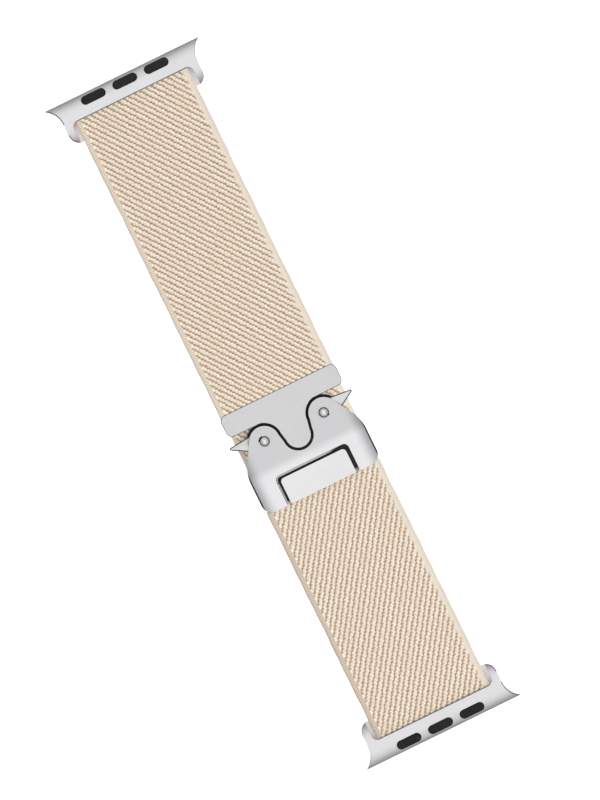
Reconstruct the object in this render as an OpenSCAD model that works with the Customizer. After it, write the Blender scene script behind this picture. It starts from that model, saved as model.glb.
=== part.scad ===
// Fabric watch strap with a side-release clasp and two slide-in case connectors.
// X runs across the strap, Y along it towards the upper connector, Z out of its front face.
// The strap lies flat on Z = 0, and the origin is under the middle of its length.

/* [Strap] */
// Distance between the two watch-side edges
overall_l = 140.4; // [120:0.2:180]
// Width of the webbing
strap_w = 24; // [20:0.5:28]
// Thickness of one layer of webbing
layer_t = 0.75; // [0.6:0.05:0.9]
// How far the comfort tongue's edges stand in from the webbing's
tongue_inset = 0.3; // [0:0.05:2]
// How far the comfort tongue runs below the rivet line
tongue_reach = 10.6; // [6:0.2:12]
// Radius of the comfort tongue's corners
tongue_r = 2; // [0.5:0.1:4]
// Distance above the hook's bar at which the two layers part
split_run = 7.5; // [6:0.5:14]
// Distance above the hook's bar at which the back layer begins to rise
ramp_run = 1; // [0.5:0.1:3]
// Length over which the webbing closes behind the loop
loop_run = 2.5; // [2:0.1:4]

/* [Clasp housing] */
// Distance from the middle of the strap down to the rivet line
rivet_drop = 5; // [0:0.1:20]
// Distance between the two rivets
rivet_pitch = 12.6; // [12.4:0.1:13]
// How far the housing stands out past the webbing on each side
housing_margin = 0.3; // [0.2:0.05:0.6]
// Length of the housing below the rivet line
housing_l = 13.1; // [12.8:0.1:16]
// Radius of the lobe round each rivet
lobe_r = 2.95; // [2.85:0.05:3.2]
// Lean of the edge between the lobe and the shoulder
slope_a = 31; // [27:1:34]
// Radius of the shoulder
shoulder_r = 7.5; // [5:0.5:9]
// Radius of the lower corners
corner_r = 2.2; // [0.6:0.1:2.4]
// Width of the rolled long edges
roll_w = 3; // [1:0.1:3.5]
// Height of the rolled long edges
roll_h = 1.6; // [0.5:0.1:1.8]
// Thickness of the front face of the clasp
face_t = 1.1; // [0.9:0.05:1.4]
// Thickness of the back plate
back_t = 0.5; // [0.4:0.05:0.8]
// Thickness of the side walls
wall_t = 0.9; // [0.6:0.05:1.1]
// Distance from the rivet line down to the top of the side walls
skirt_drop = 2.7; // [2.5:0.1:3.2]
// Radius of the posts that the cover's screws enter
boss_r = 1.3; // [1.1:0.05:1.5]
// Distance of the posts from the lower edge
boss_rise = 2.9; // [2:0.1:3.4]
// How far the posts run into the side walls
boss_lap = 0.3; // [0.2:0.05:0.5]
// Radius of the small screws' shanks
screw_r = 0.5; // [0.4:0.05:0.6]
// Radius of their heads
screw_head_r = 0.9; // [0.8:0.05:1]
// Height of the flat heads
screw_head_t = 0.3; // [0.2:0.05:0.35]
// Width of their slots
slot_w = 0.24; // [0.15:0.01:0.3]
// Depth of their slots
slot_t = 0.18; // [0.1:0.01:0.25]
// How far the cover's screws run into the posts
screw_grip = 1.3; // [1:0.1:1.4]

/* [Clasp hook] */
// How far the hook's bar stands out past the webbing on each side
bar_margin = 0.25; // [0:0.05:0.6]
// Height of the hook's bar along the strap
bar_h = 4.4; // [3.6:0.05:6]
// Radius of the bar's corners
bar_r = 1.2; // [0.3:0.1:1.6]
// Radius of the nose between the lobes
nose_r = 2.5; // [2.3:0.05:2.65]
// Distance from the rivet line down to the centre of the nose's round end
nose_drop = 1.7; // [1.2:0.1:2.2]
// Gap seen between the hook's nose and the housing
seam = 0.5; // [0.2:0.05:0.6]
// Gap between the hook's bar and the lobes
lobe_gap = 0.45; // [0.1:0.05:0.6]
// How far the tongue runs in under the bar
tongue_lap = 1.4; // [1:0.1:2]
// Half-width of the hook's waist, which the pawls close on
waist_w = 2.2; // [2.0:0.05:2.3]
// Half-width of the barb at its shoulder
barb_w = 2.42; // [2.35:0.01:2.44]
// Distance from the rivet line down to the barb's shoulder
barb_drop = 6.2; // [6.1:0.05:6.4]
// Length of the barb
barb_l = 1.5; // [1:0.1:1.6]
// How far the barb swells out past its shoulder
barb_swell = 0.08; // [0:0.01:0.1]
// How far the hook's tongue steps out above its waist
tongue_step = 0.4; // [0.2:0.05:0.6]
// Distance from the rivet line down to that step
step_drop = 1.6; // [1.2:0.1:2]
// Thickness of the clamp plate behind the webbing
clamp_t = 0.5; // [0.3:0.05:0.6]
// How far the clamp plate stands in from the ends of the bar
clamp_inset = 1.6; // [0.5:0.1:2.5]
// Radius of the clamp plate's corners
clamp_r = 0.4; // [0.2:0.05:0.6]
// Gap round the clamp plate, and between the webbing's end and the tongue
clamp_gap = 0.3; // [0.2:0.05:0.4]
// Distance of the clamp plate's screws from the ends of the bar
hook_screw_inset = 4.25; // [3:0.05:6]
// How far those screws run into the bar
hook_screw_grip = 0.5; // [0.3:0.05:0.7]

/* [Pawls] */
// Radius of the pawl's hub
hub_r = 2.3; // [2:0.05:2.5]
// How far the tips of the ears stand out past the housing
ear_out = 0.7; // [0.4:0.05:1.2]
// Height of the ears' upper edge above the rivet line
ear_top = 1.75; // [1.4:0.05:1.9]
// Distance of the ears' lower corner below the rivet line
ear_low = 0.55; // [0.3:0.05:0.9]
// Distance of that corner from the housing's side
ear_root = 2.5; // [2:0.1:3]
// Radius of the ears' tips
ear_r = 0.3; // [0.2:0.05:0.4]
// Distance from the rivet line down to the foot of the pawl
foot_drop = 5.3; // [5.2:0.05:5.4]
// Height of the pawl's foot
foot_h = 0.9; // [0.7:0.05:1]
// Width of the pawl's foot
foot_w = 2.2; // [1.6:0.1:2.4]
// Gap between the foot and the hook's waist
foot_gap = 0.06; // [0.04:0.01:0.08]
// Radius of the rivet's shank
rivet_r = 0.65; // [0.5:0.05:0.8]
// Radius of the rivet's head
rivet_head_r = 1; // [0.9:0.05:1.2]
// Height of the rivet's head
rivet_head_h = 0.7; // [0.3:0.05:0.9]
// Radius of the rivet's spread end
rivet_tail_r = 1; // [0.8:0.05:1.1]
// Depth of the rivet's spread end
rivet_tail_h = 0.35; // [0.2:0.05:0.4]
// Width of the sunk ring round the rivet's head
ring_w = 0.18; // [0.1:0.01:0.3]
// Depth of that ring
ring_t = 0.15; // [0.05:0.01:0.25]
// Thickness of a leaf spring
leaf_t = 0.18; // [0.1:0.02:0.25]
// Radius to which a pawl spring is bowed
bow_r = 5; // [4.2:0.1:7]

/* [Clamp lever] */
// Width of the lever
lever_w = 13.8; // [12:0.1:14.5]
// Length of the lever
lever_l = 5.2; // [4.8:0.1:5.6]
// Radius of the lever's upper corners
lever_r = 0.8; // [0.3:0.1:1]
// Gap between the lever and its cut-out
lever_gap = 0.8; // [0.4:0.05:0.9]
// Radius of the lever's pin
pin_r = 0.3; // [0.2:0.02:0.34]
// How far the pin runs into each cheek of the housing
pin_grip = 1.6; // [1:0.1:2]
// Radius of the cut-out's corners
cut_r = 1; // [0.5:0.1:1.5]
// How far the webbing's narrow end stands in from the lever's sides
neck_inset = 0.2; // [0:0.05:1]
// Length of the webbing's narrow end inside the housing
neck_l = 4.2; // [3.5:0.1:4.6]
// Distance of the lever's tooth from its pin
tooth_d = 1.1; // [1:0.05:1.6]
// Width of the tooth at its root
tooth_w = 0.7; // [0.4:0.05:0.9]
// Bevel under the lever's ends
lever_bevel = 0.3; // [0.1:0.05:0.3]

/* [Connectors] */
// How far each tip is flared out
flare_w = 2.25; // [1.5:0.05:3]
// Thickness of the cheeks beside the webbing
cheek_t = 1.5; // [1.4:0.05:2.5]
// Depth from the watch-side edge to the ends of the legs
conn_d = 8.35; // [7.8:0.05:10]
// Depth of the flare
flare_d = 3.8; // [3:0.1:4.2]
// Radius of the outer corners of the legs
leg_r = 2.1; // [1:0.1:2.4]
// Gap between the webbing and each cheek
mouth_gap = 0.75; // [0.3:0.05:0.9]
// Radius of the mouth's corners
mouth_r = 1.2; // [0.6:0.1:1.5]
// Depth of the barrel's rounded front
barrel_d = 3; // [2.6:0.1:3.4]
// Distance from the watch-side edge to the lip over the webbing
lip_d = 4.3; // [4.1:0.05:4.6]
// Thickness of the lip
lip_t = 0.6; // [0.4:0.05:1]
// Flat stretch of the legs' tops behind the lip
lip_run = 0.4; // [0:0.05:1]
// Radius of the legs' lower back edge
heel_r = 0.8; // [0.3:0.05:1.2]
// Thickness of the ledge under the webbing
ledge_t = 0.6; // [0.4:0.05:0.8]
// Radius of the strap bar
strap_bar_r = 0.5; // [0.4:0.05:0.6]
// How far the strap bar's ends are sunk into the cheeks
bar_sunk = 0.25; // [0.1:0.05:0.6]
// Wall between the pads and the mouth
pocket_wall = 0.3; // [0.2:0.05:0.5]
// Length of each black pad and of the latch button
pad_l = 5; // [4:0.1:5.4]
// Width of each black pad and of the latch button
pad_w = 1.7; // [1.3:0.05:1.75]
// Distance from the connector's side to the centre of the nearest pad
pad_inset = 7.55; // [6.5:0.05:7.8]
// Distance from the watch-side edge to the middle of the pads
pad_d = 1.5; // [1.4:0.05:1.55]
// How far a pad stands out of the connector
pad_proud = 0.12; // [0:0.02:0.3]
// How far the latch button stands out of the connector
latch_proud = 0.45; // [0.3:0.05:0.6]
// Depth of a pad below the connector's surface
pad_t = 1.05; // [0.7:0.05:1.2]
// Bevel round the tops of the pads and of the button
pad_bevel = 0.15; // [0.05:0.01:0.3]
// Travel of the latch button
latch_travel = 0.5; // [0.3:0.05:0.5]
// How far the button's flange stands out at each end
latch_flange = 0.55; // [0.3:0.05:0.7]
// Thickness of that flange
latch_flange_t = 0.5; // [0.3:0.05:0.6]
// Thickness of the plug that closes the latch's pocket
plug_t = 0.6; // [0.4:0.05:0.8]
// Height of the latch spring when pressed
latch_spring_h = 1; // [0.8:0.05:1.1]
// Width of the latch spring
latch_spring_w = 1.2; // [0.8:0.05:1.4]

/* [Fits] */
// Clearance between fixed parts that seat on each other
seat = 0.05; // [0.02:0.01:0.08]
// Radial clearance of a shaft that turns in its hole
running = 0.04; // [0.02:0.01:0.08]
// Radial clearance of a pin fixed in its hole
pinned = 0.01; // [0.01:0.005:0.02]
// Clearance under the housing for the comfort tongue
tongue_gap = 0.2; // [0.1:0.05:0.4]
// Clearance at a leaf spring's ends
leaf_gap = 0.25; // [0.15:0.05:0.3]
// Clearance between the lower webbing's shoulders and the housing
butt_gap = 0.15; // [0.1:0.05:0.3]

/* [Hidden] */
$fn = 48;

steel = [0.83, 0.83, 0.84];
bright = [0.90, 0.90, 0.91];
dark = [0.16, 0.15, 0.16];
sand = [0.86, 0.79, 0.71];
wire = [0.62, 0.63, 0.65];

// Widths that follow from the webbing's
housing_w = strap_w + 2 * housing_margin;
bar_w = strap_w + 2 * bar_margin;
tongue_w = strap_w - 2 * tongue_inset;
mouth_w = strap_w + 2 * mouth_gap;
conn_w = mouth_w + 2 * cheek_t;
pad_pitch = conn_w / 2 - pad_inset;
tip_w = conn_w + 2 * flare_w;
neck_w = lever_w - 2 * neck_inset;
cut_w = lever_w + 2 * lever_gap;

// Heights of the layers, from the floor up
back_z0 = layer_t + tongue_gap;
back_z1 = back_z0 + back_t;
strap_z0 = back_z1 + seat;
strap_z1 = strap_z0 + 2 * layer_t;
strap_mid = strap_z0 + layer_t;
face_z0 = strap_z1 + seat;
face_z1 = face_z0 + face_t;
inner_z0 = back_z1 + seat;
inner_z1 = face_z0 - seat;

// The connector's height follows from the loop of webbing inside it
loop_r = strap_bar_r + running + layer_t;
mouth_z1 = strap_mid + loop_r + seat;
conn_z1 = mouth_z1 + lip_t;

// Places along the strap and across it
edge_y = overall_l / 2;
rivet_y = -rivet_drop;
rivet_x = rivet_pitch / 2;
end_y = rivet_y - housing_l;
bar_y0 = rivet_y + lobe_r + lobe_gap;
bar_y1 = bar_y0 + bar_h;
nose_y = rivet_y - nose_drop;
split_y = bar_y1 + split_run;
tongue_y0 = rivet_y - tongue_reach;
tongue_root_y = bar_y0 + tongue_lap;
skirt_y = rivet_y - skirt_drop;
pocket_d = pad_d + pad_w / 2 + pocket_wall;
strap_bar_d = pocket_d + loop_r + 2 * seat;
strap_bar_y = edge_y - strap_bar_d;

// The housing's sloping edge is tangent to the lobe and to the shoulder
shoulder_x = housing_w / 2 - shoulder_r;
shoulder_y = rivet_y
  - (shoulder_r - lobe_r + (shoulder_x - rivet_x) * cos(slope_a)) / sin(slope_a);

// The cover's posts, and the narrow end of the lower webbing between them
boss_x = housing_w / 2 - wall_t - boss_r + boss_lap;
boss_y = end_y + boss_rise;
neck_y = end_y + neck_l;
strap_in_y = end_y - butt_gap;

// The foot of the right pawl, and the inner wall at the height of its spring
foot_x = waist_w + foot_gap;
foot_y = rivet_y - foot_drop;
spring_y = foot_y + foot_h / 2;
inner_x = shoulder_x + sqrt(pow(shoulder_r - wall_t, 2) - pow(spring_y - shoulder_y, 2));

// The lever's pin lies in the middle of the front face's thickness
lever_y0 = end_y + seat;
lever_y1 = lever_y0 + lever_l;
pin_y = lever_y1 - face_t / 2;
pin_z = (face_z0 + face_z1) / 2;
pin_half = cut_w / 2 + pin_grip;

// The hook's clamp plate lies between its bar and the comfort tongue
clamp_z1 = strap_mid - seat;
clamp_z0 = clamp_z1 - clamp_t;
hook_screw_x = bar_w / 2 - hook_screw_inset;
hook_strap_y = tongue_root_y + clamp_gap;
clamp_y0 = hook_strap_y + clamp_gap;
clamp_y1 = bar_y1 - clamp_gap;
hook_screw_y = (clamp_y0 + clamp_y1) / 2;

// Height of the barrel's rounded front at the middle of the pads
pad_z = conn_z1 / 2 * (1 + sqrt(1 - pow(1 - pad_d / barrel_d, 2)));

// The latch button's flange is held up against a step by the leaf that stands on the plug
latch_step_z = plug_t + latch_spring_h + latch_travel + latch_flange_t;

// Height of the tools that cut through any piece
through_z = 3 * conn_z1;

function arc(c, r, a0, a1, n = 12) =
  [for (i = [0:n]) let (a = a0 + (a1 - a0) * i / n) [c[0] + r * cos(a), c[1] + r * sin(a)]];

function oval(c, rx, ry, a0, a1, n = 12) =
  [for (i = [0:n]) let (a = a0 + (a1 - a0) * i / n) [c[0] + rx * cos(a), c[1] + ry * sin(a)]];

// Right half of an outline, closed by its own mirror image in X
function both_sides(half) =
  concat(half, [for (i = [len(half) - 1:-1:0]) [-half[i][0], half[i][1]]]);

// Housing outline drawn in by d on every side
function housing_outline(d) = both_sides(concat(
  [[0, end_y + d]],
  arc([housing_w / 2 - corner_r, end_y + corner_r], corner_r - min(d, corner_r - 0.1), -90, 0, 8),
  arc([shoulder_x, shoulder_y], shoulder_r - d, 0, slope_a, 8),
  arc([rivet_x, rivet_y], lobe_r - d, slope_a, 180, 16),
  arc([0, nose_y], nose_r + seam + d, 0, -90, 10)));

module slab(points, z0, z1) {
  translate([0, 0, z0]) linear_extrude(z1 - z0) polygon(points);
}

// A profile in Y and Z, run across the strap
module across(profile, w) {
  rotate([90, 0, 90]) linear_extrude(w, center = true) polygon(profile);
}

module box(x0, x1, y0, y1, z0, z1) {
  translate([x0, y0, z0]) cube([x1 - x0, y1 - y0, z1 - z0]);
}

// A hole or a shaft along X
module rod_x(r, x0, x1, y, z) {
  translate([x0, y, z]) rotate([0, 90, 0]) cylinder(r = r, h = x1 - x0);
}

module rounded_box(x, y0, y1, z0, z1, r_low, r_high) {
  points = both_sides(concat(
    arc([x - r_low, y0 + r_low], r_low, -90, 0, 6),
    arc([x - r_high, y1 - r_high], r_high, 0, 90, 6)));
  slab(points, z0, z1);
}

// Bar with round ends along X, centred on the origin
module pill(l, w, z0, z1) {
  translate([0, 0, z0]) linear_extrude(z1 - z0) union() {
    square([l - w, w], center = true);
    for (side = [-1, 1]) translate([side * (l - w) / 2, 0]) circle(d = w);
  }
}

// The same bar with its top edge bevelled by b
module bevelled_pill(l, w, z0, z1, b) {
  pill(l, w, z0, z1 - b);
  for (side = [-1, 1]) translate([side * (l - w) / 2, 0, z1 - b])
    cylinder(r1 = w / 2, r2 = w / 2 - b, h = b);
  across([[-w / 2, z1 - b], [w / 2, z1 - b], [w / 2 - b, z1], [-w / 2 + b, z1]], l - w);
}

// Clasp housing

// Block along Y whose two upper edges are rolled over
module rolled_block() {
  roll_x = housing_w / 2 + 2 * pinned - roll_w;
  roll_z = face_z1 - roll_h;
  section = both_sides(concat(
    [[roll_x + roll_w, 0]],
    oval([roll_x, roll_z], roll_w, roll_h, 0, 90),
    [[roll_x, through_z]]));
  rotate([90, 0, 0]) linear_extrude(edge_y) polygon(section);
}

module front_cover() {
  color(bright) difference() {
    intersection() {
      slab(housing_outline(0), back_z1, face_z1);
      rolled_block();
    }
    difference() {
      union() {
        slab(housing_outline(wall_t), 0, face_z0);
        box(-rivet_x, rivet_x, neck_y, 0, 0, face_z0);
        box(-housing_w, housing_w, skirt_y, bar_y1, 0, face_z0);
      }
      for (side = [-1, 1]) translate([side * boss_x, boss_y, 0])
        cylinder(r = boss_r, h = through_z);
    }
    rounded_box(cut_w / 2, 2 * end_y, lever_y1 + lever_gap, 0, through_z, cut_r, cut_r);
    for (side = [-1, 1]) {
      translate([side * rivet_x, rivet_y, 0]) {
        cylinder(r = rivet_r + pinned, h = through_z);
        translate([0, 0, face_z1 - ring_t]) cylinder(r = rivet_head_r + ring_w, h = through_z);
      }
      translate([side * boss_x, boss_y, back_z0])
        cylinder(r = screw_r + pinned, h = back_t + screw_grip + seat);
    }
    rod_x(pin_r + pinned, -pin_half - seat, pin_half + seat, pin_y, pin_z);
  }
}

module back_plate() {
  color(steel) difference() {
    union() {
      slab(housing_outline(0), back_z0, back_z1);
      box(-rivet_x, rivet_x, nose_y - nose_r - lobe_r, rivet_y, back_z0, back_z1);
    }
    for (side = [-1, 1]) {
      translate([side * rivet_x, rivet_y, back_z0]) {
        translate([0, 0, -back_t]) cylinder(r = rivet_r + pinned, h = 3 * back_t);
        rivet_tail(pinned);
      }
      translate([side * boss_x, boss_y, back_z0]) {
        translate([0, 0, -back_t]) cylinder(r = screw_r + pinned, h = 3 * back_t);
        countersink(pinned);
      }
    }
  }
}

// The rivet is spread into the back plate's countersink
module rivet_tail(extra) {
  cylinder(r1 = rivet_tail_r + extra, r2 = rivet_r + extra, h = rivet_tail_h);
}

module countersink(extra) {
  cylinder(r1 = screw_head_r + extra, r2 = screw_r + extra, h = screw_head_r - screw_r);
}

// Slot in a screw's head whose outer face is at z
module screw_slot(z) {
  box(-screw_head_r, screw_head_r, -slot_w / 2, slot_w / 2, z - slot_t, z + slot_t);
}

module rivet(side) {
  ball_r = (pow(rivet_head_r, 2) + pow(rivet_head_h, 2)) / (2 * rivet_head_h);
  head_z = face_z1 - ring_t + pinned;
  color(bright) translate([side * rivet_x, rivet_y, 0]) {
    translate([0, 0, back_z0]) cylinder(r = rivet_r, h = face_z1 - back_z0);
    translate([0, 0, back_z0]) rivet_tail(0);
    intersection() {
      translate([0, 0, head_z + rivet_head_h - ball_r]) sphere(r = ball_r);
      translate([0, 0, head_z]) cylinder(r = rivet_head_r, h = 2 * rivet_head_h);
    }
  }
}

module left_rivet() { rivet(-1); }
module right_rivet() { rivet(1); }

module cover_screws() {
  color(steel) for (side = [-1, 1]) translate([side * boss_x, boss_y, back_z0]) difference() {
    union() {
      countersink(0);
      cylinder(r = screw_r, h = back_t + screw_grip);
    }
    screw_slot(0);
  }
}

// Pawls

// Right pawl: hub, ear that is pressed, and the arm whose foot holds the barb
module pawl(side) {
  hub = [rivet_x, rivet_y];
  ear = concat(
    [hub + [0, -hub_r * 0.5], hub + [hub_r * 0.17, hub_r * 0.98]],
    arc([housing_w / 2 + ear_out - ear_r, rivet_y + ear_top - ear_r], ear_r, 80, -65, 6),
    [[housing_w / 2 - ear_root, rivet_y - ear_low], hub + [hub_r * 0.75, -hub_r * 0.65]]);
  arm = [hub + [-hub_r * 0.99, -hub_r * 0.09], [foot_x, foot_y + foot_h], [foot_x, foot_y],
    [foot_x + foot_w, foot_y], hub + [0, -hub_r * 0.99]];
  color(steel) mirror([side < 0 ? 1 : 0, 0, 0]) difference() {
    union() {
      translate([hub[0], hub[1], inner_z0]) cylinder(r = hub_r, h = inner_z1 - inner_z0);
      slab(ear, inner_z0, inner_z1);
      slab(arm, inner_z0, inner_z1);
    }
    translate([hub[0], hub[1], 0]) cylinder(r = rivet_r + running, h = through_z);
  }
}

module left_pawl() { pawl(-1); }
module right_pawl() { pawl(1); }

// Leaf from x0 to x1, bowed to radius r, with its ends at height y
function bowed_leaf(x0, x1, y, r) =
  let (spread = asin((x1 - x0) / (2 * r)), c = [(x0 + x1) / 2, y - r * cos(spread)])
  concat(arc(c, r, 90 - spread, 90 + spread, 14),
    arc(c, r - leaf_t, 90 + spread, 90 - spread, 14));

// Bowed leaf between the side wall and the pawl's foot
module pawl_spring(side) {
  leaf = bowed_leaf(foot_x + foot_w + 2 * leaf_gap, inner_x - leaf_gap, spring_y, bow_r);
  color(wire) mirror([side < 0 ? 1 : 0, 0, 0]) slab(leaf, inner_z0 + 2 * seat, inner_z1 - 2 * seat);
}

module left_pawl_spring() { pawl_spring(-1); }
module right_pawl_spring() { pawl_spring(1); }

// Clamp lever

module clamp_lever() {
  tooth_y = pin_y - tooth_d;
  profile = [[lever_y0, face_z1], [lever_y0, face_z0 + lever_bevel],
    [lever_y0 + lever_bevel, face_z0], [tooth_y - tooth_w / 2, face_z0],
    [tooth_y, strap_z1 + pinned], [tooth_y + tooth_w / 2, face_z0],
    [lever_y1 - lever_bevel, face_z0], [lever_y1, face_z0 + lever_bevel], [lever_y1, face_z1]];
  color(bright) difference() {
    intersection() {
      across(profile, lever_w);
      rounded_box(lever_w / 2, lever_y0, lever_y1 + pinned, 0, through_z, lever_r / 3, lever_r);
    }
    rod_x(pin_r + running, -lever_w, lever_w, pin_y, pin_z);
  }
}

module lever_pin() {
  color(steel) rod_x(pin_r, -pin_half, pin_half, pin_y, pin_z);
}

// Clasp hook

module hook_plate() {
  flank_a = 90 + acos(min(1, (lobe_r + lobe_gap) / (lobe_r + seam)));
  nose = both_sides(concat(
    arc([0, nose_y], nose_r, -90, 0, 12),
    arc([rivet_x, rivet_y], lobe_r + seam, 180, flank_a, 12),
    [[rivet_x - bar_r, bar_y0 + bar_r]]));
  barb_y = rivet_y - barb_drop;
  step_x = waist_w + tongue_step;
  step_y = rivet_y - step_drop;
  tongue = both_sides([
    [0, barb_y - barb_l], [waist_w * 0.55, barb_y - barb_l], [waist_w, barb_y - barb_l * 0.75],
    [barb_w + barb_swell, barb_y - barb_l * 0.4], [barb_w, barb_y], [waist_w, barb_y],
    [waist_w, step_y - 2 * tongue_step], [step_x, step_y], [step_x, tongue_root_y],
    [0, tongue_root_y]]);
  color(bright) difference() {
    union() {
      rounded_box(bar_w / 2, bar_y0, bar_y1, strap_z1, face_z1, bar_r, bar_r);
      slab(nose, face_z0 - 2 * seat, face_z1);
      slab(tongue, back_z1 + 2 * seat, face_z0 - seat);
    }
    hook_holes(clamp_z0, strap_z1 + hook_screw_grip + 2 * seat, pinned);
  }
}

// The holes for the clamp plate's two screws
module hook_holes(z0, z1, gap) {
  for (side = [-1, 1]) translate([side * hook_screw_x, hook_screw_y, z0])
    cylinder(r = screw_r + gap, h = z1 - z0);
}

module hook_clamp_plate() {
  color(steel) difference() {
    rounded_box(bar_w / 2 - clamp_inset, clamp_y0, clamp_y1, clamp_z0, clamp_z1, clamp_r, clamp_r);
    hook_holes(0, through_z, pinned);
  }
}

module hook_screws() {
  head_z1 = clamp_z0 - pinned;
  head_z0 = head_z1 - screw_head_t;
  color(steel) for (side = [-1, 1]) translate([side * hook_screw_x, hook_screw_y, 0])
    difference() {
      union() {
        translate([0, 0, head_z0]) cylinder(r = screw_head_r, h = screw_head_t);
        translate([0, 0, head_z0]) cylinder(r = screw_r, h = strap_z1 + hook_screw_grip - head_z0);
      }
      screw_slot(head_z0);
    }
}

// Webbing

// Side view of the loop round the strap bar, running on towards the clasp; to is its far end
module loop_profile(to) {
  far = strap_bar_y - loop_run;
  reach = sqrt(pow(loop_run, 2) + pow(layer_t, 2));
  lean = atan2(layer_t, -loop_run) - acos(loop_r / reach);
  points = concat([[to, strap_z0], [far, strap_z0]],
    arc([strap_bar_y, strap_mid], loop_r, -lean, lean, 24),
    [[far, strap_z1], [to, strap_z1]]);
  polygon(points);
}

module upper_strap() {
  ramp_y = bar_y1 + ramp_run;
  join_y = split_y + 2 * layer_t;
  fold = layer_t * tan(atan2(strap_z0, split_y - ramp_y) / 2);
  plan = both_sides(concat(
    arc([tongue_w / 2 - tongue_r, tongue_y0 + tongue_r], tongue_r, -90, 0, 6),
    [[tongue_w / 2, bar_y0 + bar_r], [strap_w / 2, bar_y0 + 3 * bar_r], [strap_w / 2, edge_y]]));
  tongue = [[tongue_y0, 0], [ramp_y, 0], [split_y, strap_z0], [join_y, strap_z0],
    [join_y, strap_mid], [split_y - fold, strap_mid], [ramp_y - fold, layer_t],
    [tongue_y0, layer_t]];
  front = [[hook_strap_y, strap_mid], [join_y, strap_mid], [join_y, strap_z1],
    [hook_strap_y, strap_z1]];
  color(sand) difference() {
    intersection() {
      slab(plan, -layer_t, through_z);
      rotate([90, 0, 90]) linear_extrude(2 * strap_w, center = true) union() {
        polygon(tongue);
        polygon(front);
        loop_profile(split_y + layer_t);
      }
    }
    rod_x(strap_bar_r + running, -strap_w, strap_w, strap_bar_y, strap_mid);
    hook_holes(clamp_z1, through_z, seat);
  }
}

module lower_strap() {
  plan = both_sides([[0, -edge_y], [strap_w / 2, -edge_y], [strap_w / 2, strap_in_y],
    [neck_w / 2, strap_in_y], [neck_w / 2, neck_y - cut_r], [neck_w / 2 - cut_r, neck_y]]);
  color(sand) difference() {
    intersection() {
      slab(plan, 0, through_z);
      mirror([0, 1, 0]) rotate([90, 0, 90]) linear_extrude(2 * strap_w, center = true)
        loop_profile(-neck_y);
    }
    rod_x(strap_bar_r + running, -strap_w, strap_w, -strap_bar_y, strap_mid);
  }
}

// Case connectors, drawn as the upper one and turned half round for the lower one

module placed(upper) {
  rotate([0, 0, upper ? 0 : 180]) children();
}

// Upright hole round a pad of length l
module pad_hole(x, l, z0, z1) {
  translate([x, edge_y - pad_d, 0]) pill(l + 2 * seat, pad_w + 2 * seat, z0, z1);
}

module connector(upper) {
  side_x = conn_w / 2;
  flare_r = (pow(flare_w, 2) + pow(flare_d, 2)) / (2 * flare_w);
  flare_a = acos((flare_r - flare_w) / flare_r);
  plan = both_sides(concat(
    [[0, edge_y - conn_d]],
    arc([side_x - leg_r, edge_y - conn_d + leg_r], leg_r, -90, 0, 8),
    arc([side_x + flare_r, edge_y - flare_d], flare_r, 180, 180 - flare_a, 12),
    [[side_x, edge_y]]));
  half_z = conn_z1 / 2;
  leg_z = 0.3 * conn_z1;
  leg_y = edge_y - lip_d - lip_run;
  profile = concat(
    oval([edge_y - barrel_d, half_z], barrel_d, half_z, -90, 90, 24),
    oval([leg_y, leg_z], conn_d - lip_d - lip_run, conn_z1 - leg_z, 90, 180, 12),
    oval([edge_y - conn_d + heel_r, heel_r], heel_r, heel_r, 180, 270, 6));
  open_y = edge_y - 2 * conn_d;
  color(bright) placed(upper) difference() {
    intersection() {
      slab(plan, -conn_z1, through_z);
      across(profile, 2 * tip_w);
    }
    box(-mouth_w / 2, mouth_w / 2, open_y, edge_y - pocket_d, ledge_t, mouth_z1);
    rounded_box(mouth_w / 2, open_y, edge_y - lip_d, ledge_t, through_z, mouth_r, mouth_r);
    rod_x(strap_bar_r + pinned, -conn_w, conn_w, strap_bar_y, strap_mid);
    for (side = [-1, 1]) pad_hole(side * pad_pitch, pad_l, pad_z - pad_t - seat, through_z);
    pad_hole(0, pad_l, plug_t, through_z);
    pad_hole(0, pad_l + 2 * latch_flange, -plug_t, latch_step_z);
  }
}

module strap_bar(upper) {
  half = conn_w / 2 - bar_sunk;
  color(steel) placed(upper) rod_x(strap_bar_r, -half, half, strap_bar_y, strap_mid);
}

module latch_button(upper) {
  flange_z1 = latch_step_z - pinned;
  flange_z0 = flange_z1 - latch_flange_t;
  color(dark) placed(upper) translate([0, edge_y - pad_d, 0]) {
    bevelled_pill(pad_l, pad_w, flange_z0, pad_z + latch_proud, pad_bevel);
    pill(pad_l + 2 * latch_flange, pad_w, flange_z0, flange_z1);
  }
}

module latch_plug(upper) {
  color(steel) placed(upper) translate([0, edge_y - pad_d, 0])
    pill(pad_l + 2 * latch_flange, pad_w + seat, 0, plug_t);
}

// Arched leaf under the latch button
module latch_spring(upper) {
  z0 = plug_t + pinned;
  z1 = latch_step_z - latch_flange_t - seat;
  half = pad_l / 2;
  rise = z1 - z0 - leaf_t;
  arch_r = (pow(half, 2) + pow(rise, 2)) / (2 * rise);
  leaf = bowed_leaf(-half, half, z1 - rise, arch_r);
  color(wire) placed(upper) translate([0, edge_y - pad_d + latch_spring_w / 2, 0])
    rotate([90, 0, 0]) linear_extrude(latch_spring_w) polygon(leaf);
}

module pad(upper, side) {
  color(dark) placed(upper) translate([side * pad_pitch, edge_y - pad_d, 0])
    bevelled_pill(pad_l, pad_w, pad_z - pad_t, pad_z + pad_proud, pad_bevel);
}

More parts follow.
